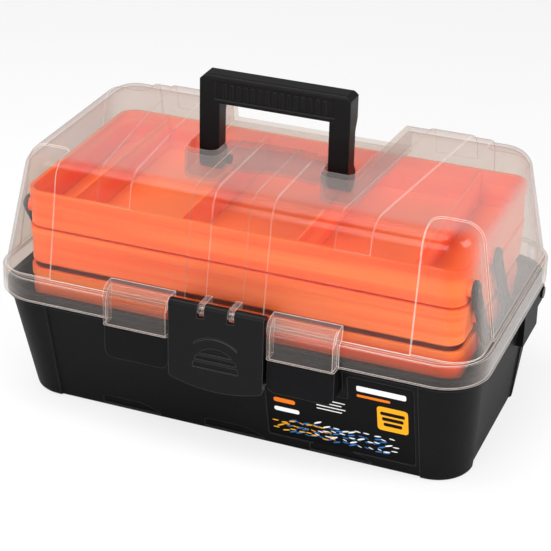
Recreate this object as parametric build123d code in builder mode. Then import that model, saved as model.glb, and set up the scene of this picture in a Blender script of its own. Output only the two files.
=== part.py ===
from build123d import *
import os
from math import atan2, degrees, hypot

os.makedirs("parts", exist_ok=True)

# Clearances
running = 0.1
snug = 0.03
side_gap = 0.4

# Rim of the lid and the band of the tub it drops over
rim_l = 410.0
rim_w = 239.0
rim_r = 38.0
rim_soft = 2.0
lid_wall = 2.2
skirt_low = 101.5
skirt_h = 21.0
skirt_top = skirt_low + skirt_h
band_gap = 1.1
band_l = rim_l - 2 * (lid_wall + band_gap)
band_w = rim_w - 2 * (lid_wall + band_gap)
band_r = rim_r - lid_wall - band_gap
band_hang = 4.0
band_rise_in = 5.0
band_low = skirt_low - band_hang
band_top = skirt_low + band_rise_in

# Tub
tub_inset_x = 16.25
tub_inset_y = 32.5
tub_l = rim_l - 2 * tub_inset_x
tub_w = rim_w - 2 * tub_inset_y
tub_r = 30.0
tub_wall = 3.0
tub_soft = 4.0
band_t = 3.0
tub_top_l = band_l - 2 * band_t
tub_top_w = band_w - 2 * band_t
column_step = 1.5
column_l = 32.0
column_w = 28.0
column_x = tub_l / 2 - column_l
column_y = tub_w / 2 - column_w
pad_out = 7.0
pad_in = 24.0
pad_front = rim_w / 2 + pad_out
pad_root = rim_w / 2 - pad_in
pad_low = 72.0
pad_soft = 7.0
boss_low = 64.0
end_boss_w = 44.0
end_boss_y = 57.0
end_boss_d = 11.0
wave_l = 52.0
wave_low = 3.0
wave_h = 12.0
wave_pitch = 91.0
wave_depth = 1.2
label_left = 31.0
label_low = 12.0
label_gap = 4.0
label_right = column_x - label_gap
label_high = band_low - label_gap - column_step
label_depth = 1.0
label_t = 0.4

# Dome of the lid
dome_sink = 7.0
dome_low = skirt_top - dome_sink
dome_top = 218.0
dome_inset_x = 2.0
dome_inset_y = 3.75
lean_x = 15.2
lean_y = 18.2
dome_r = 28.0
crown_soft = 17.0
corner_step = 1.6
corner_l = 55.0
corner_w = 51.0
corner_x = rim_l / 2 - corner_l
corner_y = rim_w / 2 - corner_w
corner_soft = 9.0
band_rise = 1.2
strip_drop = 26.0
strip_low = dome_top - strip_drop
strip_in_front = 83.0
strip_in_back = 101.0
strip_out_front = 110.0
strip_out_back = 137.0
rib_x = 24.0
rib_w = 17.5
recess_depth = 24.0
recess_z = dome_top - recess_depth
block_front_x = 71.0
block_back_x = 78.0
bridge_x = 44.5
bridge_back = 0.0
bridge_swell = 4.0
pocket_soft = 7.0

# Carrying handle, upright, folding back about its feet
grip_top = 277.7
grip_h = 23.0
grip_d = 18.0
leg_w = 17.0
leg_gap = 1.7
leg_in = bridge_x + leg_gap
handle_out = leg_in + leg_w
leg_waist = 4.5
handle_y = -7.4
foot_gap = 1.0
pocket_gap = 11.0
handle_z = recess_z + grip_d / 2 + foot_gap
pocket_front = handle_y - grip_d / 2 - pocket_gap
trunnion_r = 4.0
trunnion_reach = 3.0
panel_drop = 1.0
panel_out = 4.0
panel_edge = 4.0
panel_depth = 0.8
grip_rib_count = 15
grip_rib_pitch = 6.0
grip_rib_w = 2.4
grip_rib_edge = 5.5
grip_rib_h = 1.0

# Tabs of the skirt and the latch between them
tab_in = 41.0
tab_out = 96.5
tab_out_y = 10.0
tab_rise = 12.0
tab_front = rim_w / 2 + tab_out_y
tab_top = skirt_top + tab_rise
tab_soft = 2.5
latch_gap = 1.5
latch_w = 2 * (tab_in - latch_gap)
latch_t = 4.0
latch_low = 63.2
latch_dip = 6.8
latch_soft = 4.0
latch_out = 6.0
latch_rise = 9.5
latch_y = -(rim_w / 2 + latch_out)
latch_z = skirt_top + latch_rise
barrel_r = 4.5
lug_x = 12.4
lug_w = 5.0
latch_pin_r = 1.5
latch_pin_end = 4.0
latch_pin_short = 2.0
slot_drop = 6.5
flange_t = 2.5
flange_d = 5.6
flange_back = 2.2
flange_rise = 12.0
flange_drop = 6.0
hook_side = 20.0
hook_drop = 5.0
hook_t = 4.3
hook_in = 4.0
hook_root = 2.0
mark_r = 19.0
mark_edge = 1.0
mark_depth = 1.2
bar_pitch = 6.0
bar_t = 1.8
arc_r = 27.0
arc_t = 1.4
arc_rise = 25.0
arc_w = 36.0
arc_h = 10.0
arc_depth = 0.6
ledge_low = 86.5
ledge_h = 3.5
ledge_out = 4.0
ledge_front = rim_w / 2 + ledge_out

# Hinge at the back
hinge_out = 1.0
hinge_y = rim_w / 2 + hinge_out
hinge_z = 72.0
knuckle_r = 8.0
ear_r = 7.0
ear_inset = 20.5
ear_x = rim_l / 2 - ear_inset
ear_w = 7.0
ear_root = 11.0
knuckle_w = 7.0
hinge_pin_r = 2.5
hinge_reach = ear_w / 2 + side_gap + knuckle_w
hinge_head_t = 1.6

# Trays
tray_inset = 22.0
front_inset = 26.5
back_inset = 22.5
bottom_inset = 34.5
tray_l = rim_l - 2 * tray_inset
tray_front = -rim_w / 2 + front_inset
tray_back = rim_w / 2 - back_inset
bottom_back = rim_w / 2 - bottom_inset
tray_r = 15.0
tray_wall = 2.2
tray_floor = 2.0
tray_soft = 2.0
tray_band = 7.5
tray_band_step = 1.0
tray_gap = 0.5
top_high = 186.5
top_low = 154.25
middle_high = top_low - tray_gap
bottom_gap = 4.0
middle_low = 122.0
bottom_high = middle_low - bottom_gap
bottom_low = 92.0
inner_x = tray_l / 2 - tray_band_step
cell_x = inner_x - tray_wall

# Loose dividers that drop into grooves in the walls of the trays
divider_t = 1.8
divider_drop = 2.0
groove = 0.8
end_cell = 39.0
end_wall_x = cell_x - end_cell
middle_wall_x = 48.0
side_wall_x = 72.0
third_wall_x = 61.0

# Arms that carry the trays, all turning together on the tub
arm_t = 3.0
arm_w = 14.0
arm_gap = 2.2
arm_x = tray_l / 2 + arm_gap
pin_r = 3.0
pin_head_r = 5.5
pin_head_t = 1.5
bore_depth = 3.4
pin_skin = 1.4
boss_r = 6.5
boss_t = 5.0
groove_depth = 1.0
pivot_z = 62.0
pin_rise = 13.0
pin_lean = 46.0
pin_step = 21.0
pin_inset = 17.0
pivot_inset = 15.0
front_pivot_y = tray_front + pin_inset + pin_lean + 2 * pin_step
rear_pivot_y = tub_w / 2 - pivot_inset
pivots_y = [front_pivot_y, rear_pivot_y]
pin_offsets = [
    (-pin_lean - index * pin_step, low + pin_rise - pivot_z)
    for index, low in enumerate((bottom_low, middle_low, top_low))
]


def side_plane(side, distance):
    return Plane(origin=(side * distance, 0, 0), x_dir=(0, 1, 0), z_dir=(side, 0, 0)) if side > 0 else \
        Plane(origin=(side * distance, 0, 0), x_dir=(0, -1, 0), z_dir=(side, 0, 0))


def on_side(side, y, z):
    return (side * y, z)


def disc(side, distance, spot, radius, thickness, mode=Mode.ADD):
    with BuildSketch(side_plane(side, distance)) as face:
        with Locations(on_side(side, *spot)):
            Circle(radius)
    extrude(face.sketch, amount=thickness, mode=mode)


def frustum(foot_l, foot_w, foot_z, lean_x, lean_y, top_z, radius):
    # Four leaning walls from two trapezium profiles, joined by round corners
    with BuildPart() as form:
        with BuildSketch(Plane.XZ):
            with BuildLine():
                Polyline(
                    (-foot_l / 2, foot_z), (foot_l / 2, foot_z), (foot_l / 2 + lean_x, top_z),
                    (-foot_l / 2 - lean_x, top_z), close=True,
                )
            make_face()
        extrude(amount=foot_w, both=True)
        with BuildSketch(Plane.YZ):
            with BuildLine():
                Polyline(
                    (-foot_w / 2, foot_z), (foot_w / 2, foot_z), (foot_w / 2 + lean_y, top_z),
                    (-foot_w / 2 - lean_y, top_z), close=True,
                )
            make_face()
        extrude(amount=foot_l, both=True, mode=Mode.INTERSECT)
        ends = form.faces().sort_by(Axis.Z)
        fillet(form.edges() - ends[0].edges() - ends[-1].edges(), radius=radius)
    return form


def save(part, name):
    part.label = name
    export_step(part, f"parts/{name}.step")


def tub_form(inset):
    foot_z = max(inset, 0.0)
    slope_x = (tub_top_l - tub_l) / 2 / band_top
    slope_y = (tub_top_w - tub_w) / 2 / band_top
    form = frustum(
        tub_l + 2 * (slope_x * foot_z - inset), tub_w + 2 * (slope_y * foot_z - inset), foot_z,
        slope_x * (band_top - foot_z), slope_y * (band_top - foot_z), band_top, tub_r - inset,
    )
    with form:
        if inset <= 0:
            fillet(form.faces().sort_by(Axis.Z)[0].edges(), radius=tub_soft)
    return form.part


def label_plan(grow):
    # An L, since the pad under the lid's tab takes the upper left corner
    step = pad_low - label_gap
    with BuildSketch() as plan:
        with BuildLine():
            Polyline(
                (label_left, label_low), (label_right, label_low), (label_right, label_high),
                (tab_out + label_gap, label_high), (tab_out + label_gap, step), (label_left, step),
                close=True,
            )
        make_face()
        fillet(plan.vertices(), radius=2.0)
        if grow:
            offset(amount=grow)
    return plan.sketch


def wave_plan():
    half = wave_l / 2
    with BuildSketch() as plan:
        for x in (-wave_pitch, 0, wave_pitch):
            with BuildLine():
                Polyline(
                    (x + half, wave_low), (x - half, wave_low), (x - half, wave_h - 2.0),
                    (x - half + 4.0, wave_h), (x + half / 4, wave_h),
                )
                Spline(
                    (x + half / 4, wave_h), (x + half, wave_low),
                    tangents=((1, 0), (0.4, -1)), tangent_scalars=(0.8, 0.6),
                )
            make_face()
    return plan.sketch


def lid_form(inset):
    form = frustum(
        rim_l - 2 * (dome_inset_x + inset), rim_w - 2 * (dome_inset_y + inset), dome_low,
        -lean_x, -lean_y, dome_top - inset, dome_r - inset,
    )
    with form:
        fillet(form.faces().sort_by(Axis.Z)[-1].edges(), radius=crown_soft - inset)
    return form.part


def recess_plan(grow):
    # The handle's hollow seen from above: open to the rear, with a pocket round each leg
    with BuildSketch(Plane.XY) as plan:
        with BuildLine():
            Polyline(
                (0, rim_w), (block_back_x, rim_w), (block_back_x, tray_back), (block_front_x, pocket_front),
                (bridge_x, pocket_front), (bridge_x, bridge_back), (rib_x, bridge_back),
                (rib_x - rib_w / 2, bridge_back + bridge_swell), (0, bridge_back + bridge_swell), close=True,
            )
        make_face()
        mirror(about=Plane.YZ)
        pocket_corners = plan.vertices().filter_by_position(Axis.Y, pocket_front - 1, pocket_front + 1)
        fillet(pocket_corners, radius=pocket_soft)
        fillet(plan.vertices().filter_by_position(Axis.Y, bridge_back - 0.1, bridge_back + 0.1), radius=3.0)
        if grow:
            offset(amount=grow, kind=Kind.ARC)
    return plan.sketch


# The lid's outer skin: four sunk corners, two raised strips and two ribs on a plain dome
plain_dome = lid_form(corner_step)
proud_dome = lid_form(-band_rise)
with BuildPart() as cross:
    add(lid_form(0.0))
    with BuildSketch(Plane.XY.offset(dome_low)) as bands:
        Rectangle(2 * corner_x, rim_w)
        Rectangle(rim_l, 2 * corner_y)
        fillet(
            bands.vertices().filter_by_position(Axis.X, -corner_x - 1, corner_x + 1)
            .filter_by_position(Axis.Y, -corner_y - 1, corner_y + 1),
            radius=corner_soft,
        )
    extrude(amount=dome_top, mode=Mode.INTERSECT)
with BuildPart() as raised:
    add(proud_dome)
    with BuildSketch(Plane.XY.offset(strip_low)) as strips:
        with BuildLine():
            Polyline(
                (strip_in_front, -rim_w / 2), (strip_out_front, -rim_w / 2),
                (strip_out_back, rim_w / 2), (strip_in_back, rim_w / 2), close=True,
            )
        make_face()
        mirror(about=Plane.YZ)
    extrude(amount=dome_top, mode=Mode.INTERSECT)
with BuildPart() as ribs:
    add(proud_dome)
    with BuildSketch(Plane.XY.offset(dome_low)):
        with Locations((-rib_x, -rim_w / 4), (rib_x, -rim_w / 4)):
            Rectangle(rib_w, rim_w / 2 + 2 * (bridge_back + bridge_swell))
    extrude(amount=dome_top, mode=Mode.INTERSECT)

# The space inside the lid
outer_plan = recess_plan(0.0)
inner_plan = recess_plan(lid_wall)
with BuildPart() as hollow:
    add(lid_form(corner_step + lid_wall))
    with BuildSketch(Plane.XY.offset(recess_z - lid_wall)):
        add(inner_plan)
    extrude(amount=dome_top, mode=Mode.SUBTRACT)
hollow_part = hollow.part

# Lid
with BuildPart() as lid:
    with BuildSketch(Plane.XY.offset(skirt_low)):
        RectangleRounded(rim_l, rim_w, rim_r)
    extrude(amount=skirt_h)
    chamfer(lid.faces().sort_by(Axis.Z)[-1].edges(), length=rim_soft)
    for side in (-1, 1):
        with BuildSketch(Plane.YZ.offset(side * (tab_in + tab_out) / 2)):
            with BuildLine():
                Polyline(
                    (-rim_w / 2 + 9.0, skirt_low), (-tab_front, skirt_low), (-tab_front, tab_top - 12.0),
                    (-tab_front + 4.0, tab_top - 3.0), (-tab_front + 10.0, tab_top),
                    (-rim_w / 2 + 9.0, tab_top), close=True,
                )
            make_face()
        extrude(amount=(tab_out - tab_in) / 2, both=True)
    tab_edges = lid.edges().filter_by(Axis.Z).filter_by_position(Axis.Y, -tab_front - 1, -tab_front + 1)
    fillet(tab_edges, radius=tab_soft)
    add(plain_dome)
    add(cross.part)
    add(raised.part)
    add(ribs.part)
    # Ears of the hinge
    for x in (-ear_x, ear_x):
        with BuildSketch(Plane.YZ.offset(x)):
            with Locations((hinge_y, hinge_z)):
                Circle(ear_r)
            with BuildLine():
                Polyline(
                    (rim_w / 2 - ear_root, band_low), (rim_w / 2 - ear_root, skirt_top - 3.0),
                    (rim_w / 2 - 4.0, skirt_top - 3.0), (hinge_y + ear_r, skirt_low + 6.0),
                    (hinge_y + ear_r, hinge_z), (hinge_y - ear_r, hinge_z), close=True,
                )
            make_face()
        extrude(amount=ear_w / 2, both=True)
        with BuildSketch(Plane.YZ.offset(x)):
            with Locations((hinge_y, hinge_z)):
                Circle(hinge_pin_r + running)
        extrude(amount=ear_w, both=True, mode=Mode.SUBTRACT)
    with BuildSketch(Plane.XY.offset(recess_z)):
        add(outer_plan)
    extrude(amount=dome_top, mode=Mode.SUBTRACT)
    add(hollow_part, mode=Mode.SUBTRACT)
    with BuildSketch(Plane.XY.offset(hinge_z + ear_r + 1.0)):
        RectangleRounded(rim_l - 2 * lid_wall, rim_w - 2 * lid_wall, rim_r - lid_wall)
    extrude(amount=skirt_top - lid_wall - hinge_z - ear_r - 1.0, mode=Mode.SUBTRACT)
    for side in (-1, 1):
        with BuildSketch(Plane.YZ.offset(side * (tab_in + tab_out) / 2)):
            with BuildLine():
                Polyline(
                    (-rim_w / 2 + 3.0, skirt_low), (-tab_front + lid_wall, skirt_low),
                    (-tab_front + lid_wall, tab_top - 12.8), (-tab_front + 5.8, tab_top - 5.0),
                    (-tab_front + 10.5, tab_top - lid_wall - 0.6),
                    (-rim_w / 2 + 3.0, tab_top - lid_wall - 0.6), close=True,
                )
            make_face()
        extrude(amount=(tab_out - tab_in) / 2 - lid_wall, both=True, mode=Mode.SUBTRACT)
    # Lugs for the latch
    for x in (-lug_x, lug_x):
        with BuildSketch(Plane.YZ.offset(x)):
            with Locations((latch_y, latch_z)):
                Circle(barrel_r)
            with Locations(((latch_y - rim_w / 2 + 9.0) / 2 - 0.5, latch_z)):
                Rectangle(-latch_y - rim_w / 2 + 9.0 + 1.0, 2 * barrel_r)
        extrude(amount=lug_w / 2, both=True)
        with BuildSketch(Plane.YZ.offset(x)):
            with Locations((latch_y, latch_z)):
                Circle(latch_pin_r + running)
        extrude(amount=lug_w, both=True, mode=Mode.SUBTRACT)
    # Holes for the handle's trunnions
    with BuildSketch(Plane.YZ):
        with Locations((handle_y, handle_z)):
            Circle(trunnion_r + running)
    extrude(amount=leg_in, both=True, mode=Mode.SUBTRACT)
save(lid.part, "lid")

# Tub
tub_outer = tub_form(0.0)
tub_proud = tub_form(-column_step)
tub_inner = tub_form(tub_wall)
front_lean = Plane(
    origin=(0, -tub_w / 2, 0), x_dir=(1, 0, 0), z_dir=(0, -band_top, -(tub_top_w - tub_w) / 2)
)
back_lean = Plane(
    origin=(0, tub_w / 2, 0), x_dir=(-1, 0, 0), z_dir=(0, band_top, -(tub_top_w - tub_w) / 2)
)
label_recess = label_plan(0.5)
label_shape = label_plan(0.0)
foot_waves = wave_plan()
with BuildPart() as columns:
    add(tub_proud)
    with BuildSketch(Plane.XY):
        with GridLocations(2 * column_x + rim_w, 2 * column_y + rim_w, 2, 2):
            Rectangle(rim_w, rim_w)
    extrude(amount=band_low + 1.0, mode=Mode.INTERSECT)
with BuildPart() as tub:
    add(tub_outer)
    add(columns.part)
    with BuildSketch(Plane.XY.offset(band_low)):
        RectangleRounded(band_l, band_w, band_r)
    extrude(amount=band_top - band_low)
    # Pads under the lid's tabs
    with BuildSketch(Plane.XY.offset(pad_low)):
        for side in (-1, 1):
            with Locations((side * (tab_in + tab_out) / 2, -(pad_front + pad_root) / 2)):
                Rectangle(tab_out - tab_in - 1.0, pad_front - pad_root)
    extrude(amount=skirt_low - pad_low - 0.6)
    fillet(
        tub.edges().filter_by(Axis.Y).filter_by_position(Axis.Z, pad_low - 0.1, pad_low + 0.1),
        radius=pad_soft,
    )
    # Ledge the latch hooks under
    with BuildSketch(Plane.XY.offset(ledge_low)):
        with Locations((0, -(ledge_front + pad_root) / 2)):
            Rectangle(2 * tab_in - 26.0, ledge_front - pad_root)
    extrude(amount=ledge_h)
    # Recessed panel for the label and the three waves along the foot
    with BuildSketch(front_lean):
        add(label_recess)
    extrude(amount=-label_depth, mode=Mode.SUBTRACT)
    for plane in (front_lean, back_lean):
        with BuildSketch(plane):
            add(foot_waves)
        extrude(amount=-wave_depth, mode=Mode.SUBTRACT)
    # Bosses under the rim at the ends
    with BuildSketch(Plane.XY.offset(boss_low)):
        for side in (-1, 1):
            with Locations((side * (band_l / 2 - end_boss_d), end_boss_y)):
                Rectangle(2 * end_boss_d, end_boss_w)
    extrude(amount=band_low - boss_low)
    # Knuckles of the hinge
    for x in (-ear_x, ear_x):
        for shift in (-1, 1):
            with BuildSketch(Plane.YZ.offset(x + shift * ((ear_w + knuckle_w) / 2 + side_gap))):
                with Locations((hinge_y, hinge_z)):
                    Circle(knuckle_r)
                with Locations(((hinge_y + tub_w / 2 - 12.0) / 2, hinge_z)):
                    Rectangle(hinge_y - tub_w / 2 + 12.0, 2 * knuckle_r)
            extrude(amount=knuckle_w / 2, both=True)
            with BuildSketch(Plane.YZ.offset(x + shift * ((ear_w + knuckle_w) / 2 + side_gap))):
                with Locations((hinge_y, hinge_z)):
                    Circle(hinge_pin_r + snug)
            extrude(amount=knuckle_w, both=True, mode=Mode.SUBTRACT)
    add(tub_inner, mode=Mode.SUBTRACT)
    # Bosses that carry the arms
    for side in (-1, 1):
        for y in pivots_y:
            disc(side, arm_x + arm_t + running, (y, pivot_z), boss_r, boss_t)
            disc(side, arm_x + arm_t, (y, pivot_z), pin_r + snug, bore_depth, Mode.SUBTRACT)
save(tub.part, "tub")

# Label on the front of the tub
with BuildPart() as label:
    with BuildSketch(front_lean.offset(-label_depth)):
        add(label_shape)
    extrude(amount=label_t)
save(label.part, "label")

# Hinge pins, each seated by its head on the outer knuckle
with BuildPart() as hinge_pins:
    for side in (-1, 1):
        disc(side, ear_x - hinge_reach, (hinge_y, hinge_z), hinge_pin_r, 2 * hinge_reach)
        disc(side, ear_x + hinge_reach, (hinge_y, hinge_z), 2 * hinge_pin_r, hinge_head_t)
save(hinge_pins.part, "hinge_pins")

# Carrying handle
face_front = handle_y - grip_d / 2
face_back = handle_y + grip_d / 2
with BuildPart() as handle:
    with BuildSketch(Plane.XZ.offset(-handle_y)) as bar:
        with Locations((0, grip_top - grip_h / 2)):
            Rectangle(2 * handle_out, grip_h)
        chamfer(bar.vertices().sort_by(Axis.Y)[-2:], length=4.0)
    extrude(amount=grip_d / 2, both=True)
    fillet(handle.edges().filter_by(Axis.X).group_by(Axis.Z)[-1], radius=3.0)
    for side in (-1, 1):
        # A leg: full depth at the grip and the foot, set back between them
        with BuildSketch(side_plane(side, leg_in)) as leg:
            with BuildLine():
                Polyline(
                    on_side(side, face_front, grip_top - grip_h), on_side(side, face_back, grip_top - grip_h),
                    on_side(side, face_back - leg_waist, grip_top - grip_h - 10.0),
                    on_side(side, face_back - leg_waist, handle_z + 12.0),
                    on_side(side, face_back, handle_z + 6.0), on_side(side, face_back, handle_z),
                    on_side(side, face_front, handle_z), close=True,
                )
            make_face()
            with Locations(on_side(side, handle_y, handle_z)):
                Circle(grip_d / 2)
        extrude(amount=leg_w)
        trunnion_in = lid_wall + trunnion_reach
        disc(side, bridge_x - trunnion_in, (handle_y, handle_z), trunnion_r, leg_gap + trunnion_in)
    for face_y, out in ((face_front, 1), (face_back, -1)):
        with BuildSketch(Plane.XZ.offset(-face_y)):
            with Locations((0, grip_top - grip_h / 2 - panel_drop)):
                Rectangle(2 * (leg_in + panel_out), grip_h - 2 * panel_edge)
        extrude(amount=-panel_depth * out, mode=Mode.SUBTRACT)
        with BuildSketch(Plane.XZ.offset(-face_y)):
            with Locations((0, grip_top - grip_h / 2 - panel_drop)):
                with GridLocations(grip_rib_pitch, 0, grip_rib_count, 1):
                    Rectangle(grip_rib_w, grip_h - 2 * grip_rib_edge)
        extrude(amount=-grip_rib_h * out)
save(handle.part, "handle")

# Latch, hooked under the tub's ledge
with BuildPart() as latch:
    with BuildSketch(Plane.XZ.offset(barrel_r - latch_y - latch_t)) as face:
        with BuildLine():
            Polyline(
                (-latch_w / 2, latch_low + latch_dip), (-latch_w / 2, latch_z), (latch_w / 2, latch_z),
                (latch_w / 2, latch_low + latch_dip),
            )
            ThreePointArc(
                (latch_w / 2, latch_low + latch_dip), (0, latch_low), (-latch_w / 2, latch_low + latch_dip)
            )
        make_face()
        fillet(face.vertices().sort_by(Axis.Y)[:2], radius=latch_soft)
    extrude(amount=latch_t)
    with BuildSketch(Plane.YZ):
        with Locations((latch_y, latch_z)):
            Circle(barrel_r)
    extrude(amount=latch_w / 2, both=True)
    # Flanges down the sides, and the hook that reaches in under the ledge
    with BuildSketch(Plane.XY.offset(latch_low + flange_rise)):
        for side in (-1, 1):
            with Locations((side * (latch_w - flange_t) / 2, latch_y + flange_back)):
                Rectangle(flange_t, flange_d)
    extrude(amount=latch_z - latch_low - flange_rise - flange_drop)
    hook_tip = hook_in - ledge_front
    hook_foot = latch_y - hook_root
    with BuildSketch(Plane.XY.offset(ledge_low - hook_drop)):
        with Locations((0, (hook_tip + hook_foot) / 2)):
            Rectangle(2 * (tab_in - hook_side), hook_tip - hook_foot)
    extrude(amount=hook_t)
    # Slots round the lid's lugs and the bore for the pin, blind at the left
    with BuildSketch(Plane.XY.offset(latch_z - slot_drop)):
        with Locations((-lug_x, latch_y), (lug_x, latch_y)):
            Rectangle(lug_w + 2 * side_gap, 4 * barrel_r)
    extrude(amount=2 * (slot_drop + barrel_r), mode=Mode.SUBTRACT)
    with BuildSketch(Plane.YZ.offset(latch_pin_end - latch_w / 2)):
        with Locations((latch_y, latch_z)):
            Circle(latch_pin_r + snug)
    extrude(amount=latch_w, mode=Mode.SUBTRACT)
    # Finger grip pressed into the face
    mark_z = latch_low + mark_r
    with BuildSketch(Plane.XZ.offset(barrel_r - latch_y)):
        with Locations((0, mark_z)):
            Circle(mark_r)
        with Locations((0, mark_z - (mark_r + mark_edge) / 2)):
            Rectangle(2 * (mark_r + mark_edge), mark_r + mark_edge, mode=Mode.SUBTRACT)
        with Locations((0, mark_z + bar_pitch), (0, mark_z + 2 * bar_pitch)):
            Rectangle(2 * (mark_r + mark_edge), bar_t, mode=Mode.SUBTRACT)
    extrude(amount=-mark_depth, mode=Mode.SUBTRACT)
    with BuildSketch(Plane.XZ.offset(barrel_r - latch_y)):
        with Locations((0, mark_z)):
            Circle(arc_r + arc_t)
            Circle(arc_r, mode=Mode.SUBTRACT)
        with Locations((0, mark_z + arc_rise)):
            Rectangle(arc_w, arc_h, mode=Mode.INTERSECT)
    extrude(amount=-arc_depth, mode=Mode.SUBTRACT)
save(latch.part, "latch")

with BuildPart() as latch_pin:
    with BuildSketch(Plane.YZ.offset(latch_pin_end - latch_w / 2)):
        with Locations((latch_y, latch_z)):
            Circle(latch_pin_r)
    extrude(amount=latch_w - latch_pin_end - latch_pin_short)
save(latch_pin.part, "latch_pin")


def make_tray(low, high, back, index, walls):
    width = back - tray_front
    cell_w = width - 2 * (tray_band_step + tray_wall)
    shift_y, shift_z = pin_offsets[index]
    middle = Location((0, (back + tray_front) / 2))
    with BuildPart() as tray:
        with BuildSketch(Plane.XY.offset(low)):
            with Locations(middle):
                RectangleRounded(2 * inner_x, width - 2 * tray_band_step, tray_r - tray_band_step)
        extrude(amount=high - low)
        chamfer(tray.faces().sort_by(Axis.Z)[0].edges(), length=tray_soft)
        with BuildSketch(Plane.XY.offset(high - tray_band)):
            with Locations(middle):
                RectangleRounded(tray_l, width, tray_r)
        extrude(amount=tray_band)
        for side in (-1, 1):
            for y in pivots_y:
                spot = (y + shift_y, pivot_z + shift_z)
                disc(side, inner_x - 0.5, spot, boss_r, arm_x - running - inner_x + 0.5)
        with BuildSketch(Plane.XY.offset(low + tray_floor)):
            with Locations(middle):
                RectangleRounded(2 * cell_x, cell_w, tray_r - tray_band_step - tray_wall)
            for x in walls:
                with Locations((x, (back + tray_front) / 2)):
                    Rectangle(divider_t + 2 * snug, cell_w + 2 * groove)
        extrude(amount=high - low, mode=Mode.SUBTRACT)
        for side in (-1, 1):
            for y in pivots_y:
                spot = (y + shift_y, pivot_z + shift_z)
                disc(side, cell_x + pin_skin, spot, pin_r + snug, arm_x - cell_x, Mode.SUBTRACT)
    return tray.part


def make_dividers(low, high, back, walls):
    cell_w = back - tray_front - 2 * (tray_band_step + tray_wall)
    with BuildPart() as dividers:
        with BuildSketch(Plane.XY.offset(low + tray_floor)):
            for x in walls:
                with Locations((x, (back + tray_front) / 2)):
                    Rectangle(divider_t, cell_w + 2 * (groove - snug))
        extrude(amount=high - low - tray_floor - divider_drop)
    return dividers.part


def make_tray_pins(index):
    shift_y, shift_z = pin_offsets[index]
    head_x = arm_x + arm_t + running
    with BuildPart() as pins:
        for side in (-1, 1):
            for y in pivots_y:
                spot = (y + shift_y, pivot_z + shift_z)
                disc(side, cell_x + pin_skin, spot, pin_r, head_x - cell_x - pin_skin + pin_head_t / 2)
                disc(side, head_x, spot, pin_head_r, pin_head_t)
    return pins.part


def make_arm(side, pivot_y):
    steps = [(pivot_y, pivot_z)]
    steps += [(pivot_y + shift_y, pivot_z + shift_z) for shift_y, shift_z in pin_offsets]
    with BuildPart() as arm:
        for start, end in zip(steps, steps[1:]):
            middle = on_side(side, (start[0] + end[0]) / 2, (start[1] + end[1]) / 2)
            run = side * (end[0] - start[0])
            rise = end[1] - start[1]
            with BuildSketch(side_plane(side, arm_x)):
                with Locations(middle):
                    SlotCenterToCenter(hypot(run, rise), arm_w, rotation=degrees(atan2(rise, run)))
            extrude(amount=arm_t)
        # A groove along each stretch leaves a raised border
        for start, end in zip(steps, steps[1:]):
            middle = on_side(side, (start[0] + end[0]) / 2, (start[1] + end[1]) / 2)
            run = side * (end[0] - start[0])
            rise = end[1] - start[1]
            with BuildSketch(side_plane(side, arm_x + arm_t - groove_depth)):
                with Locations(middle):
                    Rectangle(
                        hypot(run, rise) - 2 * boss_r - 1.0, arm_w - 2 * arm_t,
                        rotation=degrees(atan2(rise, run)),
                    )
            extrude(amount=arm_t, mode=Mode.SUBTRACT)
        for spot in steps:
            disc(side, arm_x - 1.0, spot, pin_r + running, arm_t + 2.0, Mode.SUBTRACT)
    return arm.part


top_walls = (-end_wall_x, -middle_wall_x, middle_wall_x, end_wall_x)
middle_walls = (-side_wall_x, 0, side_wall_x)
bottom_walls = (-third_wall_x, third_wall_x)
save(make_tray(top_low, top_high, tray_back, 2, top_walls), "tray_top")
save(make_tray(middle_low, middle_high, tray_back, 1, middle_walls), "tray_middle")
save(make_tray(bottom_low, bottom_high, bottom_back, 0, bottom_walls), "tray_bottom")
save(make_dividers(top_low, top_high, tray_back, top_walls), "tray_top_dividers")
save(make_dividers(middle_low, middle_high, tray_back, middle_walls), "tray_middle_dividers")
save(make_dividers(bottom_low, bottom_high, bottom_back, bottom_walls), "tray_bottom_dividers")
save(make_tray_pins(2), "tray_top_pins")
save(make_tray_pins(1), "tray_middle_pins")
save(make_tray_pins(0), "tray_bottom_pins")
for side, hand in ((-1, "left"), (1, "right")):
    save(make_arm(side, front_pivot_y), f"arm_front_{hand}")
    save(make_arm(side, rear_pivot_y), f"arm_rear_{hand}")

# Pins that hold the arms on the tub, seated at the bottom of their bores
with BuildPart() as tub_pins:
    for side in (-1, 1):
        for y in pivots_y:
            disc(side, arm_x - running - pin_head_t, (y, pivot_z), pin_head_r, pin_head_t)
            disc(side, arm_x - running - 0.5, (y, pivot_z), pin_r, arm_t + running + 0.5 + bore_depth)
save(tub_pins.part, "tub_pins")
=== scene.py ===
import math

import bpy
from mathutils import Matrix, Vector


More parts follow.
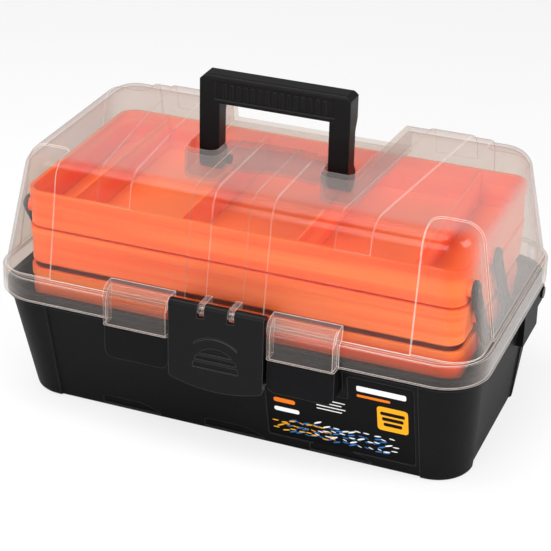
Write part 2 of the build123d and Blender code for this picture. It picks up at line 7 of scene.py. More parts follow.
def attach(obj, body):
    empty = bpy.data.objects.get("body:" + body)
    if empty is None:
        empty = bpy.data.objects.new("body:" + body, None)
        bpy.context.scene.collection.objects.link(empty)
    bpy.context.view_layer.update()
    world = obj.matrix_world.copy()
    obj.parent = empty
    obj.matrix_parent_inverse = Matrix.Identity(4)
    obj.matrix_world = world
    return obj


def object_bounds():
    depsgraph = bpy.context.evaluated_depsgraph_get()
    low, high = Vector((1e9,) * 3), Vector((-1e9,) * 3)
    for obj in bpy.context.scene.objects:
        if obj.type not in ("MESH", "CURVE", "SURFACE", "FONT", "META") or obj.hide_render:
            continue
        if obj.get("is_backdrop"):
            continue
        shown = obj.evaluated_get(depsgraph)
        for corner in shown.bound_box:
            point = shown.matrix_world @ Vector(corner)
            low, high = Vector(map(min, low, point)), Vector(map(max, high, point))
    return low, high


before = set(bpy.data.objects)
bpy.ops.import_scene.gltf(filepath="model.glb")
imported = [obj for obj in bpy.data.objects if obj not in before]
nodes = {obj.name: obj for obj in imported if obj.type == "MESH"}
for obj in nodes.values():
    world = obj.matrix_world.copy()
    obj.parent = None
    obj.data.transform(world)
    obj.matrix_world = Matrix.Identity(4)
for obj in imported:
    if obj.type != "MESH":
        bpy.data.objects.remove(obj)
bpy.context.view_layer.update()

MM = 0.001


# Node helpers

def linear(code):
    """An sRGB hex colour as the linear RGBA that Blender's sockets take."""
    channels = (int(code[i:i + 2], 16) / 255 for i in (1, 3, 5))
    return tuple(c / 12.92 if c <= 0.04045 else ((c + 0.055) / 1.055) ** 2.4 for c in channels) + (1.0,)


def add_node(tree, kind, settings=None, links=None):
    """Adds a node, sets its properties, and fills its inputs with values or other nodes' outputs."""
    node = tree.nodes.new(kind)
    for name, value in (settings or {}).items():
        setattr(node, name, value)
    for name, value in (links or {}).items():
        if isinstance(value, bpy.types.NodeSocket):
            tree.links.new(value, node.inputs[name])
        else:
            node.inputs[name].default_value = value
    return node


def new_material(name):
    """An empty node material and its tree."""
    material = bpy.data.materials.new(name)
    material.use_nodes = True
    material.node_tree.nodes.clear()
    return material, material.node_tree


# A normal that turns by less than about 6 degrees, which has this cosine, counts as flat
FLAT_COSINE = 0.995


def edge_mask(tree, radius_mm, sharp_cosine):
    """The rounded normal near an edge, and how near the edge is: 0 on the flat, and 1 where the normal turns
    by the angle of sharp_cosine or more."""
    rounded = add_node(tree, "ShaderNodeBevel", {"samples": 8}, {"Radius": radius_mm * MM}).outputs[0]
    flat = add_node(tree, "ShaderNodeNewGeometry").outputs["Normal"]
    turn = add_node(
        tree, "ShaderNodeVectorMath", {"operation": "DOT_PRODUCT"}, {0: rounded, 1: flat},
    ).outputs["Value"]
    near = add_node(tree, "ShaderNodeMapRange", {"interpolation_type": "SMOOTHSTEP"}, {
        "Value": turn, "From Min": FLAT_COSINE, "From Max": sharp_cosine, "To Min": 0.0, "To Max": 1.0,
    }).outputs[0]
    return rounded, near


# Materials

POLYPROPYLENE_IOR = 1.49

# The lid's painted highlight lines are drawn stronger along its deeper steps than along its ribs. Each pair
# is where that changes
# over: towards the ends by distance from the middle, down to the skirt by height, and past the latch's lugs
ENDS_MM, SKIRT_MM, LUGS_MM = (125.0, 145.0), (134.0, 142.0), (28.0, 36.0)


def clear_polypropylene(name, painted_edge_lines):
    """Clear polypropylene, injection moulded: clear face on, milky where seen aslant, and with painted
    highlights, pale lines, along its edges. The share given is how much of what lies behind is covered by a
    painted edge line that is seen aslant."""
    flow_mm, haze_power, least_haze, thin_haze, thick_haze = 45.0, 1.7, 0.005, 0.42, 0.52
    edge_mm, sharp_cosine = 1.0, 0.90
    first_slant, full_slant, face_on_share = 0.15, 0.55, 0.13
    ends_share, skirt_share = 1.3, 1.5
    mirror_power, least_mirror, most_mirror = 5.0, 0.016, 0.45
    material, tree = new_material(name)
    slant = add_node(tree, "ShaderNodeLayerWeight", links={"Blend": 0.5}).outputs["Facing"]
    rise = add_node(tree, "ShaderNodeMath", {"operation": "POWER"}, {0: slant, 1: haze_power}).outputs[0]
    place = add_node(tree, "ShaderNodeTexCoord").outputs["Object"]
    flow = add_node(tree, "ShaderNodeTexNoise", links={
        "Vector": place, "Scale": 1 / (flow_mm * MM), "Detail": 2.0,
    }).outputs["Fac"]
    most_haze = add_node(tree, "ShaderNodeMapRange", links={
        "Value": flow, "To Min": thin_haze, "To Max": thick_haze,
    }).outputs[0]
    haze = add_node(tree, "ShaderNodeMapRange", links={
        "Value": rise, "To Min": least_haze, "To Max": most_haze,
    }).outputs[0]
    # Near each edge a pale line is painted on the wall as a highlight: stronger where the wall is seen
    # aslant, towards the ends and down at the skirt
    rounded, near = edge_mask(tree, edge_mm, sharp_cosine)
    aslant = add_node(tree, "ShaderNodeMapRange", links={
        "Value": slant, "From Min": first_slant, "From Max": full_slant,
        "To Min": face_on_share * painted_edge_lines, "To Max": painted_edge_lines,
    }).outputs[0]
    spot = add_node(tree, "ShaderNodeSeparateXYZ", links={0: place}).outputs
    across = add_node(tree, "ShaderNodeMath", {"operation": "ABSOLUTE"}, {0: spot["X"]}).outputs[0]
    at_ends = add_node(tree, "ShaderNodeMapRange", links={
        "Value": across, "From Min": ENDS_MM[0] * MM, "From Max": ENDS_MM[1] * MM,
        "To Min": 0.0, "To Max": ends_share * painted_edge_lines,
    }).outputs[0]
    at_skirt = add_node(tree, "ShaderNodeMapRange", links={
        "Value": spot["Z"], "From Min": SKIRT_MM[0] * MM, "From Max": SKIRT_MM[1] * MM,
        "To Min": skirt_share * painted_edge_lines, "To Max": 0.0,
    }).outputs[0]
    past_lugs = add_node(tree, "ShaderNodeMapRange", links={
        "Value": across, "From Min": LUGS_MM[0] * MM, "From Max": LUGS_MM[1] * MM,
        "To Min": 0.0, "To Max": 1.0,
    }).outputs[0]
    round_skirt = add_node(
        tree, "ShaderNodeMath", {"operation": "MULTIPLY"}, {0: at_skirt, 1: past_lugs},
    ).outputs[0]
    painted_line_by_place = add_node(
        tree, "ShaderNodeMath", {"operation": "MAXIMUM"}, {0: at_ends, 1: round_skirt},
    ).outputs[0]
    strength = add_node(tree, "ShaderNodeMath", {"operation": "MAXIMUM"}, {0: aslant, 1: painted_line_by_place}).outputs[0]
    line = add_node(tree, "ShaderNodeMath", {"operation": "MULTIPLY"}, {0: near, 1: strength}).outputs[0]
    cover = add_node(tree, "ShaderNodeMath", {"operation": "MAXIMUM"}, {0: haze, 1: line}).outputs[0]
    # The milk is painted paler near the edges, in the colour of the painted highlight line
    milk_and_painted_line = add_node(tree, "ShaderNodeMixRGB", links={
        "Fac": near, "Color1": linear("#B8B5B4"), "Color2": linear("#F4EAE4"),
    }).outputs[0]
    body = add_node(tree, "ShaderNodeBsdfDiffuse", links={"Color": milk_and_painted_line, "Normal": rounded}).outputs[0]
    through = add_node(tree, "ShaderNodeBsdfTransparent", links={"Color": linear("#FAF5F1")}).outputs[0]
    wall = add_node(tree, "ShaderNodeMixShader", links={0: cover, 1: through, 2: body}).outputs[0]
    steep = add_node(tree, "ShaderNodeMath", {"operation": "POWER"}, {0: slant, 1: mirror_power}).outputs[0]
    mirror = add_node(tree, "ShaderNodeMapRange", links={
        "Value": steep, "To Min": least_mirror, "To Max": most_mirror,
    }).outputs[0]
    gloss = add_node(tree, "ShaderNodeBsdfGlossy", links={"Roughness": 0.15, "Normal": rounded}).outputs[0]
    surface = add_node(tree, "ShaderNodeMixShader", links={0: mirror, 1: wall, 2: gloss}).outputs[0]
    add_node(tree, "ShaderNodeOutputMaterial", links={"Surface": surface})
    return material


def moulded_polypropylene(name, dark, light, rough, grain_mm, relief_mm, shine, soft_edge_mm, painted_edge_highlight):
    """Opaque moulded polypropylene: the mould's grain, a slow drift of colour, and edges painted paler as a
    highlight.
    """
    drift_mm, sharp_cosine, edge_highlight_colour = 71.4, 0.80, "#4C4C4E"
    smoother, rougher = 0.05, 0.08
    material, tree = new_material(name)
    place = add_node(tree, "ShaderNodeTexCoord").outputs["Object"]
    drift = add_node(tree, "ShaderNodeTexNoise", links={
        "Vector": place, "Scale": 1 / (drift_mm * MM), "Detail": 3.0,
    }).outputs["Fac"]
    tint = add_node(tree, "ShaderNodeMixRGB", links={
        "Fac": drift, "Color1": linear(dark), "Color2": linear(light),
    }).outputs[0]
    grain = add_node(tree, "ShaderNodeTexNoise", links={
        "Vector": place, "Scale": 1 / (grain_mm * MM), "Detail": 1.0,
    }).outputs["Fac"]
    rounded, near = edge_mask(tree, soft_edge_mm, sharp_cosine)
    # The edges are painted towards a paler grey: a painted highlight
    painted_edge_share = add_node(tree, "ShaderNodeMath", {"operation": "MULTIPLY"}, {0: near, 1: painted_edge_highlight}).outputs[0]
    shade = add_node(tree, "ShaderNodeMixRGB", links={
        "Fac": painted_edge_share, "Color1": tint, "Color2": linear(edge_highlight_colour),
    }).outputs[0]
    relief = add_node(tree, "ShaderNodeBump", links={
        "Height": grain, "Distance": relief_mm * MM, "Strength": 1.0, "Normal": rounded,
    }).outputs[0]
    uneven = add_node(tree, "ShaderNodeMapRange", links={
        "Value": grain, "To Min": rough - smoother, "To Max": rough + rougher,
    }).outputs[0]
    surface = add_node(tree, "ShaderNodeBsdfPrincipled", links={
        "Base Color": shade, "Roughness": uneven, "IOR": POLYPROPYLENE_IOR, "Specular IOR Level": shine,
        "Normal": relief,
    }).outputs[0]
    add_node(tree, "ShaderNodeOutputMaterial", links={"Surface": surface})
    return material


def dyed_polypropylene(name, deep, bright):
    """Dyed polypropylene, injection moulded: semi-gloss, lit a little from within, with level streaks where
    the melt ran and broader bands behind them."""
    streak_mm, streak_long_mm, streak_share = 2.4, 167.0, 0.45
    band_mm, band_long_mm = 14.0, 500.0
    first_bright, full_bright = 0.5, 0.95
    edge_mm, relief_mm, glow_mm = 0.6, 0.03, 5.0
    material, tree = new_material(name)
    place = add_node(tree, "ShaderNodeTexCoord").outputs["Object"]
    along_streaks = add_node(tree, "ShaderNodeMapping", links={
        "Vector": place, "Scale": [1 / (size * MM) for size in (streak_long_mm, streak_long_mm, streak_mm)],
    }).outputs[0]
    streak = add_node(tree, "ShaderNodeTexNoise", links={
        "Vector": along_streaks, "Scale": 1.0, "Detail": 3.0,
    }).outputs["Fac"]
    along_bands = add_node(tree, "ShaderNodeMapping", links={
        "Vector": place, "Scale": [1 / (size * MM) for size in (band_long_mm, band_long_mm, band_mm)],
    }).outputs[0]
    band = add_node(tree, "ShaderNodeTexNoise", links={
        "Vector": along_bands, "Scale": 1.0, "Detail": 1.0,
    }).outputs["Fac"]
    mixed = add_node(
        tree, "ShaderNodeMath", {"operation": "MULTIPLY_ADD"}, {0: streak, 1: streak_share, 2: band},
    ).outputs[0]
    spread = add_node(tree, "ShaderNodeMapRange", links={
        "Value": mixed, "From Min": first_bright, "From Max": full_bright,
    }).outputs[0]
    tint = add_node(tree, "ShaderNodeMixRGB", links={
        "Fac": spread, "Color1": linear(deep), "Color2": linear(bright),
    }).outputs[0]
    edges = add_node(tree, "ShaderNodeBevel", {"samples": 6}, {"Radius": edge_mm * MM}).outputs[0]
    relief = add_node(tree, "ShaderNodeBump", links={
        "Height": streak, "Distance": relief_mm * MM, "Strength": 1.0, "Normal": edges,
    }).outputs[0]
    surface = add_node(tree, "ShaderNodeBsdfPrincipled", links={
        "Base Color": tint, "Roughness": 0.36, "IOR": POLYPROPYLENE_IOR, "Specular IOR Level": 0.4,
        "Normal": relief, "Subsurface Weight": 0.2, "Subsurface Radius": (1.0, 0.45, 0.22),
        "Subsurface Scale": glow_mm * MM,
    }).outputs[0]
    add_node(tree, "ShaderNodeOutputMaterial", links={"Surface": surface})
    return material


def drawn_steel():
    """Drawn steel wire: bright, with fine lines along the pin."""
    line_mm, line_long_mm = 0.4, 25.0
    least_rough, most_rough = 0.28, 0.5
    material, tree = new_material("drawn_steel")
    place = add_node(tree, "ShaderNodeTexCoord").outputs["Object"]
    stretched = add_node(tree, "ShaderNodeMapping", links={
        "Vector": place, "Scale": [1 / (size * MM) for size in (line_long_mm, line_mm, line_mm)],
    }).outputs[0]
    lines = add_node(tree, "ShaderNodeTexNoise", links={"Vector": stretched, "Scale": 1.0}).outputs["Fac"]
    rough = add_node(tree, "ShaderNodeMapRange", links={
        "Value": lines, "To Min": least_rough, "To Max": most_rough,
    }).outputs[0]
    surface = add_node(tree, "ShaderNodeBsdfPrincipled", links={
        "Base Color": linear("#8C8C90"), "Metallic": 1.0, "Roughness": rough,
    }).outputs[0]
    add_node(tree, "ShaderNodeOutputMaterial", links={"Surface": surface})
    return material


def printed_film(name, ink):
    """Printed self-adhesive film: flat ink under a thin gloss, with a very slight ripple and a painted shade
    in its troughs.
    """
    ripple_mm, ripple_painted_shade, relief_mm = 16.7, 0.25, 0.2
    material, tree = new_material(name)
    place = add_node(tree, "ShaderNodeTexCoord").outputs["Object"]
    ripple = add_node(tree, "ShaderNodeTexNoise", links={
        "Vector": place, "Scale": 1 / (ripple_mm * MM), "Detail": 2.0,
    }).outputs["Fac"]
    # The ink is darkened where the ripple runs low: a painted shade of the ripple's troughs
    shade = add_node(tree, "ShaderNodeMixRGB", {"blend_type": "MULTIPLY"}, {
        "Fac": ripple_painted_shade, "Color1": linear(ink), "Color2": ripple,
    }).outputs[0]
    relief = add_node(tree, "ShaderNodeBump", links={
        "Height": ripple, "Distance": relief_mm * MM, "Strength": 0.6,
    }).outputs[0]
    surface = add_node(tree, "ShaderNodeBsdfPrincipled", links={
        "Base Color": shade, "Roughness": 0.28, "IOR": 1.5, "Specular IOR Level": 0.06, "Normal": relief,
    }).outputs[0]
    add_node(tree, "ShaderNodeOutputMaterial", links={"Surface": surface})
    return material


# The beads are so thin that all of each is near an edge, so they get only a little of the painted edge
# highlight
clear = clear_polypropylene("clear_polypropylene", painted_edge_lines=0.55)
clear_beads = clear_polypropylene("clear_polypropylene_beads", painted_edge_lines=0.10)

# The tub's mould is stippled, and scatters the light, and its edges carry a painted highlight. The latch
# comes from a smooth mould and is satin, with a strong painted highlight along its edges. The handle is satin
# too, with broad round edges and only a faint painted highlight. The arms are greyer
stippled_black = moulded_polypropylene(
    "stippled_black_polypropylene", dark="#060608", light="#0D0D0F", rough=0.46, grain_mm=1.1, relief_mm=0.45,
    shine=0.07, soft_edge_mm=1.0, painted_edge_highlight=0.65,
)
satin_black = moulded_polypropylene(
    "satin_black_polypropylene", dark="#060608", light="#0A0A0C", rough=0.32, grain_mm=1.4, relief_mm=0.02,
    shine=0.12, soft_edge_mm=0.9, painted_edge_highlight=0.75,
)
grip_black = moulded_polypropylene(
    "grip_black_polypropylene", dark="#070709", light="#0B0B0D", rough=0.34, grain_mm=1.2, relief_mm=0.04,
    shine=0.12, soft_edge_mm=1.2, painted_edge_highlight=0.18,
)
arm_black = moulded_polypropylene(
    "arm_black_polypropylene", dark="#101012", light="#161618", rough=0.40, grain_mm=1.0, relief_mm=0.03,
    shine=0.2, soft_edge_mm=0.4, painted_edge_highlight=0.3,
)

orange = dyed_polypropylene("orange_polypropylene", deep="#FF5A1E", bright="#FF8A44")
steel = drawn_steel()
film_black = printed_film("film_black", "#050506")
film_amber = printed_film("film_amber", "#F2A91E")
film_orange = printed_film("film_orange", "#F07A1C")
film_white = printed_film("film_white", "#F1F1EE")
film_blue = printed_film("film_blue", "#2E6FB4")

FINISH = {
    "lid": clear, "handle": grip_black, "latch": satin_black, "latch_pin": steel, "hinge_pins": satin_black,
    "tub": stippled_black, "label": film_black, "tub_pins": arm_black,
}
for tier in ("top", "middle", "bottom"):
    FINISH[f"tray_{tier}"] = orange
    FINISH[f"tray_{tier}_dividers"] = orange
    FINISH[f"tray_{tier}_pins"] = arm_black
for corner in ("front_left", "front_right", "rear_left", "rear_right"):
    FINISH[f"arm_{corner}"] = arm_black
for name, node in nodes.items():
    for slot in node.material_slots:
        slot.material = FINISH[name]


# Pieces that the scene adds to the moulded ones

def node_group(name, sizes):
    """A geometry tree with inputs given as (name, socket type, first value), and their sockets inside it."""
    tree = bpy.data.node_groups.new(name, "GeometryNodeTree")
    tree.interface.new_socket("Geometry", in_out="OUTPUT", socket_type="NodeSocketGeometry")
    for label, kind, value in sizes:
        socket = tree.interface.new_socket(label, in_out="INPUT", socket_type=kind)
        if kind != "NodeSocketMaterial":
            socket.default_value = value
    return tree, add_node(tree, "NodeGroupInput").outputs


def made_by(tree, name, values):
    """A plain mesh object made by a geometry tree, with its inputs set by their identifiers."""
    holder = bpy.data.objects.new(name + "_seed", bpy.data.meshes.new(name + "_seed"))
    bpy.context.scene.collection.objects.link(holder)
    modifier = holder.modifiers.new("shape", "NODES")
    modifier.node_group = tree
    for item in tree.interface.items_tree:
        if item.in_out == "INPUT" and item.name in values:
            modifier[item.identifier] = values[item.name]
    seen = holder.evaluated_get(bpy.context.evaluated_depsgraph_get())
    mesh = bpy.data.meshes.new_from_object(seen)
    bpy.data.objects.remove(holder)
    piece = bpy.data.objects.new(name, mesh)
    bpy.context.scene.collection.objects.link(piece)
    return piece


def bead_tree():
    """Round beads side by side: each a ring swept along X and capped, repeated by an even step."""
    tree, given = node_group("beads", [
        ("Count", "NodeSocketInt", 3), ("Step", "NodeSocketVector", (0.0, 0.0, 0.0)),
        ("Length", "NodeSocketFloat", 50 * MM), ("Radius", "NodeSocketFloat", 1 * MM),
        ("Material", "NodeSocketMaterial", None),
    ])
    half = add_node(tree, "ShaderNodeMath", {"operation": "MULTIPLY"}, {
        0: given["Length"], 1: 0.5,
    }).outputs[0]
    back = add_node(tree, "ShaderNodeMath", {"operation": "MULTIPLY"}, {
        0: given["Length"], 1: -0.5,
    }).outputs[0]
    start = add_node(tree, "ShaderNodeCombineXYZ", links={"X": back}).outputs[0]
    end = add_node(tree, "ShaderNodeCombineXYZ", links={"X": half}).outputs[0]
    line = add_node(tree, "GeometryNodeCurvePrimitiveLine", links={"Start": start, "End": end}).outputs[0]
    ring = add_node(tree, "GeometryNodeCurvePrimitiveCircle", links={
        "Resolution": 10, "Radius": given["Radius"],
    }).outputs[0]
    bar = add_node(tree, "GeometryNodeCurveToMesh", links={
        "Curve": line, "Profile Curve": ring, "Fill Caps": True,
    }).outputs[0]
    places = add_node(tree, "GeometryNodeMeshLine", links={
        "Count": given["Count"], "Offset": given["Step"],
    }).outputs[0]
    bars = add_node(tree, "GeometryNodeInstanceOnPoints", links={
        "Points": places, "Instance": bar,
    }).outputs[0]
    real = add_node(tree, "GeometryNodeRealizeInstances", links={"Geometry": bars}).outputs[0]
    done = add_node(tree, "GeometryNodeSetMaterial", links={
        "Geometry": real, "Material": given["Material"],
    }).outputs[0]
    add_node(tree, "NodeGroupOutput", links={"Geometry": done})
    return tree


def dash_tree():
    """Loose dashes on a field: eight-sided flakes jittered off a grid, turned and sized by a fixed seed. A
    random float's least and most are the sockets 2 and 3, and it comes out of socket 1."""
    least_scale, most_scale = 0.55, 1.15
    tree, given = node_group("dashes", [
        ("Width", "NodeSocketFloat", 70 * MM), ("Height", "NodeSocketFloat", 20 * MM),
        ("Columns", "NodeSocketInt", 10), ("Rows", "NodeSocketInt", 3),
        ("Dash Length", "NodeSocketFloat", 4 * MM), ("Dash Width", "NodeSocketFloat", 1 * MM),
        ("Jitter", "NodeSocketVector", (2 * MM, 2 * MM, 0.0)), ("Turn", "NodeSocketFloat", 0.6),
        ("Thickness", "NodeSocketFloat", 0.02 * MM), ("Seed", "NodeSocketInt", 1),
        ("Material", "NodeSocketMaterial", None),
    ])
    grid = add_node(tree, "GeometryNodeMeshGrid", links={
        "Size X": given["Width"], "Size Y": given["Height"],
        "Vertices X": given["Columns"], "Vertices Y": given["Rows"],
    }).outputs["Mesh"]
    low = add_node(tree, "ShaderNodeVectorMath", {"operation": "SCALE"}, {
        0: given["Jitter"], "Scale": -1.0,
    }).outputs[0]
    shift = add_node(tree, "FunctionNodeRandomValue", {"data_type": "FLOAT_VECTOR"}, {
        "Min": low, "Max": given["Jitter"], "Seed": given["Seed"],
    }).outputs["Value"]
    loose = add_node(tree, "GeometryNodeSetPosition", links={"Geometry": grid, "Offset": shift}).outputs[0]
    plate = add_node(tree, "GeometryNodeMeshCylinder", links={
        "Vertices": 8, "Radius": 0.5, "Depth": 1.0,
    }).outputs["Mesh"]
    size = add_node(tree, "ShaderNodeCombineXYZ", links={
        "X": given["Dash Length"], "Y": given["Dash Width"], "Z": given["Thickness"],
    }).outputs[0]
    flake = add_node(tree, "GeometryNodeTransform", links={"Geometry": plate, "Scale": size}).outputs[0]
    back_turn = add_node(tree, "ShaderNodeMath", {"operation": "MULTIPLY"}, {
        0: given["Turn"], 1: -1.0,
    }).outputs[0]
    turn = add_node(tree, "FunctionNodeRandomValue", {"data_type": "FLOAT"}, {
        2: back_turn, 3: given["Turn"], "Seed": given["Seed"],
    }).outputs[1]
    angle = add_node(tree, "ShaderNodeCombineXYZ", links={"Z": turn}).outputs[0]
    scale = add_node(tree, "FunctionNodeRandomValue", {"data_type": "FLOAT"}, {
        2: least_scale, 3: most_scale, "Seed": given["Seed"],
    }).outputs[1]
    flakes = add_node(tree, "GeometryNodeInstanceOnPoints", links={
        "Points": loose, "Instance": flake, "Rotation": angle, "Scale": scale,
    }).outputs[0]
    real = add_node(tree, "GeometryNodeRealizeInstances", links={"Geometry": flakes}).outputs[0]
    done = add_node(tree, "GeometryNodeSetMaterial", links={
        "Geometry": real, "Material": given["Material"],
    }).outputs[0]
    add_node(tree, "NodeGroupOutput", links={"Geometry": done})
    return tree


# Grip beads across the slope of each tab of the lid. The slope's foot and top are given as (y, z)
TAB_IN_MM, TAB_OUT_MM = 41.0, 96.5
SLOPE_FOOT_MM, SLOPE_TOP_MM = (-129.5, 122.5), (-125.5, 131.5)
BEAD_COUNT, BEAD_R_MM, BEAD_INSET_MM, BEAD_SINK_MM = 4, 0.5, 3.25, 0.25

beads = bead_tree()
tab_middle = (TAB_IN_MM + TAB_OUT_MM) / 2
step_y = (SLOPE_TOP_MM[0] - SLOPE_FOOT_MM[0]) / BEAD_COUNT
step_z = (SLOPE_TOP_MM[1] - SLOPE_FOOT_MM[1]) / BEAD_COUNT
for side, hand in ((-1, "left"), (1, "right")):
    ridges = made_by(beads, f"tab_beads_{hand}", {
        "Count": BEAD_COUNT, "Length": (TAB_OUT_MM - TAB_IN_MM - 2 * BEAD_INSET_MM) * MM,
        "Radius": BEAD_R_MM * MM, "Material": clear_beads, "Step": (0.0, step_y * MM, step_z * MM),
    })
    first_bead = Vector((
        side * tab_middle, SLOPE_FOOT_MM[0] + step_y / 2 + BEAD_SINK_MM, SLOPE_FOOT_MM[1] + step_z / 2,
    ))
    ridges.data.transform(Matrix.Translation(first_bead * MM))
    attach(ridges, "lid")


# The plane of the label's face, from its largest forward facet: along the label, up it, and out of it
label_mesh = nodes["label"].data
facing = max((face for face in label_mesh.polygons if face.normal.y < 0), key=lambda face: face.area)
out = facing.normal.normalized()
along = Vector((1.0, 0.0, 0.0))
up = out.cross(along)
left = min(vertex.co.dot(along) for vertex in label_mesh.vertices)
foot = min(vertex.co.dot(up) for vertex in label_mesh.vertices)
front = max(vertex.co.dot(out) for vertex in label_mesh.vertices)
label_matrix = Matrix([
    [along[i], up[i], out[i], along[i] * left + up[i] * foot + out[i] * front] for i in range(3)
] + [[0.0, 0.0, 0.0, 1.0]])


def on_label(piece):
    """Lays a piece drawn flat at the label's corner onto the film."""
    piece.data.transform(label_matrix)
    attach(piece, "tub")


def rounded(x, y, wide, high, radius):
    """The outline of a rectangle with round corners, from its low left corner, in mm."""
    facets = 4
    points = []
    for turn, (cx, cy) in enumerate((
        (x + wide - radius, y + radius), (x + wide - radius, y + high - radius),
        (x + radius, y + high - radius), (x + radius, y + radius),
    )):
        for step in range(facets + 1):
            angle = math.radians(90 * (turn - 1 + step / facets))
            points.append((cx + radius * math.cos(angle), cy + radius * math.sin(angle)))
    return points


def ink(name, outlines, material, lift_mm):
    """One colour of the print: thin closed plates of the given outlines, lift_mm thick."""
    corners, faces = [], []
    for outline in outlines:
        first, count = len(corners), len(outline)
        corners += [(x * MM, y * MM, 0.0) for x, y in outline]
        corners += [(x * MM, y * MM, lift_mm * MM) for x, y in outline]
        faces.append([first + count + k for k in range(count)])
        faces.append([first + k for k in reversed(range(count))])
        faces += [
            [first + k, first + (k + 1) % count, first + count + (k + 1) % count, first + count + k]
            for k in range(count)
        ]
    mesh = bpy.data.meshes.new(name)
    mesh.from_pydata(corners, [], faces)
    mesh.materials.append(material)
    piece = bpy.data.objects.new(name, mesh)
    bpy.context.scene.collection.objects.link(piece)
    on_label(piece)


# The print's layout in mm from the film's low left corner. A bar is its left, foot, width, height and corner
# radius, and prints that cross differ in thickness, so that no two of their faces lie in one plane
INK_MM = 0.03
HEADING_BAR, UNDER_HEADING_BAR = (76.0, 67.0, 40.0, 5.6, 1.6), (76.0, 61.0, 27.0, 2.6, 1.0)
TOP_LEFT_BAR, LOW_LEFT_BAR = (6.0, 45.0, 25.0, 5.4, 2.4), (6.0, 27.0, 21.0, 4.4, 1.8)
MIDDLE_LEFT_BAR = (6.0, 36.5, 18.0, 4.6, 1.8)
RULE_COUNT, RULE_LEFT, RULE_TOP, RULE_PITCH = 4, 42.0, 49.0, 3.4
RULE_WIDE, RULE_SHORTER, RULE_HIGH, RULE_ROUND = 24.0, 3.0, 1.0, 0.4
BLOCK_LEFT, BLOCK_FOOT, BLOCK_SIDE, BLOCK_ROUND = 92.0, 31.0, 25.0, 3.0
STRIPE_COUNT, STRIPE_FOOT, STRIPE_PITCH = 3, 36.0, 5.6
STRIPE_WIDE, STRIPE_WIDER, STRIPE_HIGH, STRIPE_ROUND = 15.0, 2.4, 3.6, 1.2
DASH_ROWS, DASH_LONG, DASH_WIDE, DASH_TURN = 3, 6.5, 1.5, 0.5
DASH_JITTER_X, DASH_JITTER_Y = 2.4, 1.8

rules = [
    rounded(RULE_LEFT, RULE_TOP - RULE_PITCH * k, RULE_WIDE - RULE_SHORTER * (k % 2), RULE_HIGH, RULE_ROUND)
    for k in range(RULE_COUNT)
]
block_middle = BLOCK_LEFT + BLOCK_SIDE / 2
stripe_widths = [STRIPE_WIDE + STRIPE_WIDER * k for k in range(STRIPE_COUNT)]
ink("label_white", [
    rounded(*HEADING_BAR), rounded(*TOP_LEFT_BAR), rounded(*LOW_LEFT_BAR),
] + rules, film_white, INK_MM)
ink("label_amber", [rounded(BLOCK_LEFT, BLOCK_FOOT, BLOCK_SIDE, BLOCK_SIDE, BLOCK_ROUND)], film_amber, INK_MM)
ink("label_orange", [rounded(*UNDER_HEADING_BAR), rounded(*MIDDLE_LEFT_BAR)], film_orange, INK_MM)
ink("label_bars", [
    rounded(block_middle - wide / 2, STRIPE_FOOT + STRIPE_PITCH * k, wide, STRIPE_HIGH, STRIPE_ROUND)
    for k, wide in enumerate(stripe_widths)
], film_black, 2 * INK_MM)

# Each field of dashes has its seed, its columns, its width and height, and its middle
dashes = dash_tree()
for name, material, seed, columns, wide, high, x, y, lift_mm in (
    ("label_dashes_blue", film_blue, 3, 13, 76.0, 11.0, 58.0, 13.0, INK_MM),
    ("label_dashes_white", film_white, 8, 10, 62.0, 13.0, 74.0, 15.0, 1.6 * INK_MM),
    ("label_dashes_amber", film_amber, 5, 8, 44.0, 9.0, 30.0, 12.0, 1.3 * INK_MM),
):
    field = made_by(dashes, name, {
        "Width": wide * MM, "Height": high * MM, "Columns": columns, "Rows": DASH_ROWS,
        "Dash Length": DASH_LONG * MM, "Dash Width": DASH_WIDE * MM, "Turn": DASH_TURN,
        "Jitter": (DASH_JITTER_X * MM, DASH_JITTER_Y * MM, 0.0), "Thickness": 2 * lift_mm * MM,
        "Seed": seed, "Material": material,
    })
    field.data.transform(Matrix.Translation((x * MM, y * MM, 0.0)))
    on_label(field)


# Stage, light and camera

def plain(name, colour, seen):
    """A matt backdrop of one colour, which the camera sees mostly as another that the lamps don't change."""
    seen_share = 0.72
    material, tree = new_material(name)
    rays = add_node(tree, "ShaderNodeLightPath").outputs
    matt = add_node(tree, "ShaderNodeBsdfDiffuse", links={"Color": linear(colour)}).outputs[0]
    bright = add_node(tree, "ShaderNodeEmission", links={"Color": linear(seen), "Strength": 1.0}).outputs[0]
    straight = add_node(
        tree, "ShaderNodeMath", {"operation": "MULTIPLY"}, {0: rays["Is Camera Ray"], 1: seen_share},
    ).outputs[0]
    surface = add_node(tree, "ShaderNodeMixShader", links={0: straight, 1: matt, 2: bright}).outputs[0]
    add_node(tree, "ShaderNodeOutputMaterial", links={"Surface": surface})
    return material


# The floor reaches this far each way, in metres, and lies a hair under the tub, so that they share no plane
FLOOR_REACH, FLOOR_DROP = 6.0, 0.2 * MM

floor_mesh = bpy.data.meshes.new("floor")
floor_mesh.from_pydata([
    (-FLOOR_REACH, -FLOOR_REACH, -FLOOR_DROP), (FLOOR_REACH, -FLOOR_REACH, -FLOOR_DROP),
    (FLOOR_REACH, FLOOR_REACH, -FLOOR_DROP), (-FLOOR_REACH, FLOOR_REACH, -FLOOR_DROP),
], [], [(0, 1, 2, 3)])
floor = bpy.data.objects.new("floor", floor_mesh)
bpy.context.scene.collection.objects.link(floor)
floor_mesh.materials.append(plain("pale_floor", "#F2F2F2", "#FFFFFF"))
floor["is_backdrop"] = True

# White to the camera and through clear plastic, and a plain level of light to everything else
WORLD_LIGHT, WORLD_SEEN = 0.42, 1.0

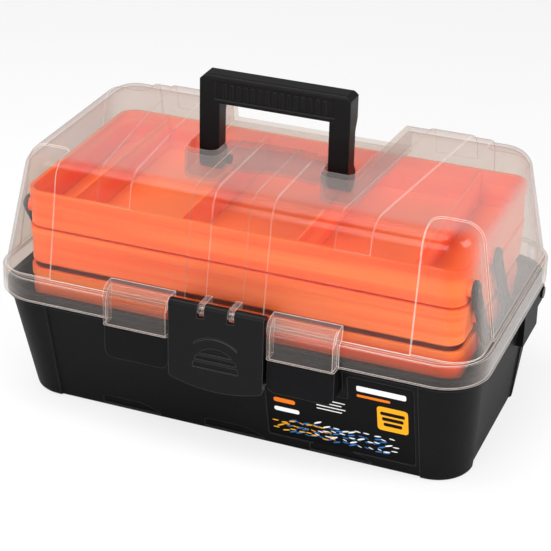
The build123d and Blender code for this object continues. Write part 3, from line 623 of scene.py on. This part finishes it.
world = bpy.data.worlds.new("studio")
bpy.context.scene.world = world
world.use_nodes = True
world.node_tree.nodes.clear()
world_tree = world.node_tree
rays = add_node(world_tree, "ShaderNodeLightPath").outputs
sight = add_node(world_tree, "ShaderNodeMath", {"operation": "MAXIMUM"}, {
    0: rays["Is Camera Ray"], 1: rays["Is Transmission Ray"],
}).outputs[0]
level = add_node(world_tree, "ShaderNodeMapRange", links={
    "Value": sight, "To Min": WORLD_LIGHT, "To Max": WORLD_SEEN,
}).outputs[0]
sky = add_node(world_tree, "ShaderNodeBackground", links={
    "Color": linear("#FFFFFF"), "Strength": level,
}).outputs[0]
add_node(world_tree, "ShaderNodeOutputWorld", links={"Surface": sky})


def softbox(name, place, wide, high, watts):
    """A rectangular soft lamp turned towards the middle of the box. Places and sizes are in metres."""
    middle = Vector((0.0, 0.0, 0.12))
    lamp = bpy.data.lights.new(name, "AREA")
    lamp.shape = "RECTANGLE"
    lamp.size, lamp.size_y, lamp.energy = wide, high, watts
    holder = bpy.data.objects.new(name, lamp)
    holder.location = place
    holder.rotation_mode = "QUATERNION"
    holder.rotation_quaternion = (middle - Vector(place)).to_track_quat("-Z", "Y")
    bpy.context.scene.collection.objects.link(holder)


softbox("lamp_over", (-0.25, -0.35, 1.35), wide=1.0, high=0.9, watts=13.0)
softbox("lamp_right", (1.30, -0.15, 0.75), wide=0.7, high=0.7, watts=12.0)
softbox("lamp_front", (0.05, -1.85, 0.80), wide=1.5, high=1.0, watts=25.0)

# Camera found from the photograph's edges: place in metres, turns in radians, and pixels of a 551 square
FRAME_PX = 551.0
CAMERA_AT = (0.48585, -1.27532, 0.80639)
YAW, PITCH, ROLL = 0.3803, 0.4432, -0.0175
FOCAL_PX, CENTRE_X, CENTRE_Y = 1861.85, 251.32, 214.94
SENSOR_MM, NEAREST, FARTHEST = 36.0, 0.01, 50.0

forward = Vector((-math.sin(YAW) * math.cos(PITCH), math.cos(YAW) * math.cos(PITCH), -math.sin(PITCH)))
level_right = Vector((math.cos(YAW), math.sin(YAW), 0.0))
level_down = forward.cross(level_right)
right = math.cos(ROLL) * level_right + math.sin(ROLL) * level_down
down = -math.sin(ROLL) * level_right + math.cos(ROLL) * level_down
camera_data = bpy.data.cameras.new("camera")
camera_data.sensor_width = SENSOR_MM
camera_data.lens = SENSOR_MM * FOCAL_PX / FRAME_PX
camera_data.shift_x = (FRAME_PX / 2 - CENTRE_X) / FRAME_PX
camera_data.shift_y = (CENTRE_Y - FRAME_PX / 2) / FRAME_PX
camera_data.clip_start, camera_data.clip_end = NEAREST, FARTHEST
camera = bpy.data.objects.new("camera", camera_data)
camera.matrix_world = Matrix.Translation(CAMERA_AT) @ Matrix(
    [[right[i], -down[i], -forward[i]] for i in range(3)]
).to_4x4()
bpy.context.scene.collection.objects.link(camera)
bpy.context.scene.camera = camera
bpy.context.scene.view_settings.view_transform = "Standard"

low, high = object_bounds()
